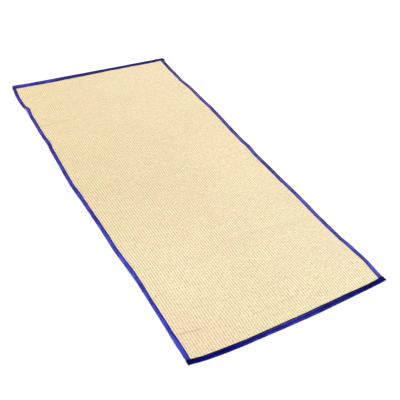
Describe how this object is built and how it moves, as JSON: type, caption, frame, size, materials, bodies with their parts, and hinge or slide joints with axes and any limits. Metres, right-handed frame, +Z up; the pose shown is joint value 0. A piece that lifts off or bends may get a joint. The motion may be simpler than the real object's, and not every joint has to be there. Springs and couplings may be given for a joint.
{
  "type": "rush mat",
  "caption": "Flat woven rush floor mat with raised ribs along its length and a folded blue cloth binding on all edges, lying open.",
  "frame": {"origin": "centre of the mat's bounding box, on the floor that it lies on", "axes": "+X across the mat's width, +Y along its length to the far end, +Z up"},
  "size_m": [1.1246, 2.3836, 0.013],
  "materials": {
    "rush": "dried rush, matt with a slight natural sheen",
    "side_binding": "royal blue plain-woven cotton tape with a slight satin sheen",
    "end_binding": "the same blue cotton tape seen across its weave, navy"
  },
  "bodies": {
    "root": {"rush_panel": "rush", "binding_left": "side_binding", "binding_right": "side_binding", "binding_near": "end_binding", "binding_far": "end_binding"}
  },
  "joints": []
}
